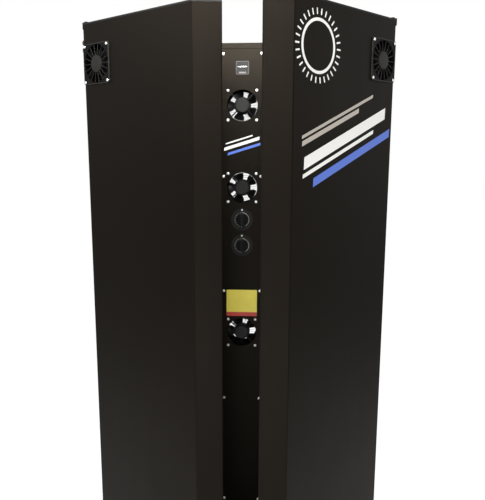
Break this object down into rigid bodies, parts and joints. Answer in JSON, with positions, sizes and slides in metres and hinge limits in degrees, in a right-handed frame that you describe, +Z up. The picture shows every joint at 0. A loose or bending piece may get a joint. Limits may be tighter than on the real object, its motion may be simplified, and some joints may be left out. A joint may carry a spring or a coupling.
{
  "type": "vertical tanning booth",
  "caption": "Open-topped vertical tanning booth: two hinged lamp doors, two fixed lamp cabinets and a control column with body fans, hour meter and knobs.",
  "frame": {"origin": "on the floor, under the middle of the booth's bounding box as it stands with its doors ajar", "axes": "+Z up, the front with the doors faces -Y, +X to the right of someone who faces the front"},
  "size_m": [0.965, 0.8223, 2.103],
  "materials": {
    "black_powder_coat": "fine textured powder coat",
    "black_plastic": "satin moulded",
    "fan_rotor_plastic": "satin moulded",
    "reflector": "bright rolled",
    "lamp_tube": "white phosphor-coated tube",
    "lamp_holder": "white moulded",
    "clear_acrylic": "clear",
    "ballast_steel": "white enamel",
    "base_paint": "textured black",
    "mat_rubber": "ribbed",
    "foot_rubber": "moulded",
    "edge_rubber": "extruded",
    "zinc_plate": "zinc plated",
    "bright_screw": "nickel plated",
    "meter_window": "clear",
    "drum_print": "printed number drums",
    "knob_plastic": "satin moulded",
    "dial_print": "printed dial plate",
    "yellow_label": "yellow plate with a red band",
    "grey_plastic": "moulded"
  },
  "bodies": {
    "cabinet": {"base_frame": "base_paint", "levelling_feet": "foot_rubber", "floor_mat": "mat_rubber", "rear_skin_left": "black_powder_coat", "rear_lamp_tray_left": "reflector", "rear_shield_left": "clear_acrylic", "rear_skin_right": "black_powder_coat", "rear_lamp_tray_right": "reflector", "rear_shield_right": "clear_acrylic", "rear_top_caps": "black_powder_coat", "column_front_panel": "black_powder_coat", "column_lower_plate": "black_powder_coat", "column_rear_cover": "black_powder_coat", "column_stiles": "black_powder_coat", "column_top_rail": "black_powder_coat", "rear_lamps": "lamp_tube", "rear_lamp_holders": "lamp_holder", "rear_ballasts": "ballast_steel", "door_pivots": "zinc_plate", "body_fan_frame_upper": "black_plastic", "body_fan_frame_middle": "black_plastic", "body_fan_frame_lower": "black_plastic", "column_screws": "bright_screw", "hour_meter_case": "black_plastic", "hour_meter_window": "meter_window", "hour_meter_drums": "drum_print", "knob_dials": "dial_print", "timer_units": "grey_plastic", "terminal_box": "grey_plastic", "info_plate": "yellow_label", "cable_glands": "black_plastic"},
    "left_door": {"left_door_skin": "black_powder_coat", "left_door_end_caps": "black_powder_coat", "left_door_gasket": "edge_rubber", "left_door_lamp_tray": "reflector", "left_door_shield": "clear_acrylic", "left_door_lamps": "lamp_tube", "left_door_lamp_holders": "lamp_holder", "left_door_ballasts": "ballast_steel", "left_door_fan_frame": "black_plastic", "left_door_fan_guard": "black_plastic", "left_door_fan_screws": "bright_screw"},
    "right_door": {"right_door_skin": "black_powder_coat", "right_door_end_caps": "black_powder_coat", "right_door_gasket": "edge_rubber", "right_door_lamp_tray": "reflector", "right_door_shield": "clear_acrylic", "right_door_lamps": "lamp_tube", "right_door_lamp_holders": "lamp_holder", "right_door_ballasts": "ballast_steel", "right_door_fan_frame": "black_plastic", "right_door_fan_guard": "black_plastic", "right_door_fan_screws": "bright_screw"},
    "body_fan_rotor_upper": {"body_fan_rotor_upper": "fan_rotor_plastic"},
    "body_fan_rotor_middle": {"body_fan_rotor_middle": "fan_rotor_plastic"},
    "body_fan_rotor_lower": {"body_fan_rotor_lower": "fan_rotor_plastic"},
    "upper_knob": {"upper_knob": "knob_plastic"},
    "lower_knob": {"lower_knob": "knob_plastic"},
    "left_door_fan_rotor": {"left_door_fan_rotor": "fan_rotor_plastic"},
    "right_door_fan_rotor": {"right_door_fan_rotor": "fan_rotor_plastic"}
  },
  "joints": [
    {"name": "left_door_swing", "type": "hinge", "parent": "cabinet", "child": "left_door", "pos_m": [-0.463, -0.07, 1.08], "axis": [0, 0, -1], "range_deg": [-5.2, 99]},
    {"name": "right_door_swing", "type": "hinge", "parent": "cabinet", "child": "right_door", "pos_m": [0.463, -0.07, 1.08], "axis": [0, 0, 1], "range_deg": [-16.2, 88]},
    {"name": "upper_body_fan_spin", "type": "hinge", "parent": "cabinet", "child": "body_fan_rotor_upper", "pos_m": [0, 0.317, 1.8832], "axis": [0, -1, 0], "continuous": true},
    {"name": "middle_body_fan_spin", "type": "hinge", "parent": "cabinet", "child": "body_fan_rotor_middle", "pos_m": [0, 0.317, 1.5841], "axis": [0, -1, 0], "continuous": true},
    {"name": "lower_body_fan_spin", "type": "hinge", "parent": "cabinet", "child": "body_fan_rotor_lower", "pos_m": [0, 0.317, 1.0236], "axis": [0, -1, 0], "continuous": true},
    {"name": "left_door_fan_spin", "type": "hinge", "parent": "left_door", "child": "left_door_fan_rotor", "pos_m": [-0.4092, -0.08707, 1.9752], "axis": [-0.5906, -0.807, 0], "continuous": true},
    {"name": "right_door_fan_spin", "type": "hinge", "parent": "right_door", "child": "right_door_fan_rotor", "pos_m": [0.41344, -0.09703, 1.9752], "axis": [0.7337, -0.6794, 0], "continuous": true},
    {"name": "upper_knob_turn", "type": "hinge", "parent": "cabinet", "child": "upper_knob", "pos_m": [0, 0.28, 1.4642], "axis": [0, 1, 0], "range_deg": [0, 300]},
    {"name": "lower_knob_turn", "type": "hinge", "parent": "cabinet", "child": "lower_knob", "pos_m": [0, 0.28, 1.3662], "axis": [0, 1, 0], "range_deg": [0, 300]}
  ]
}
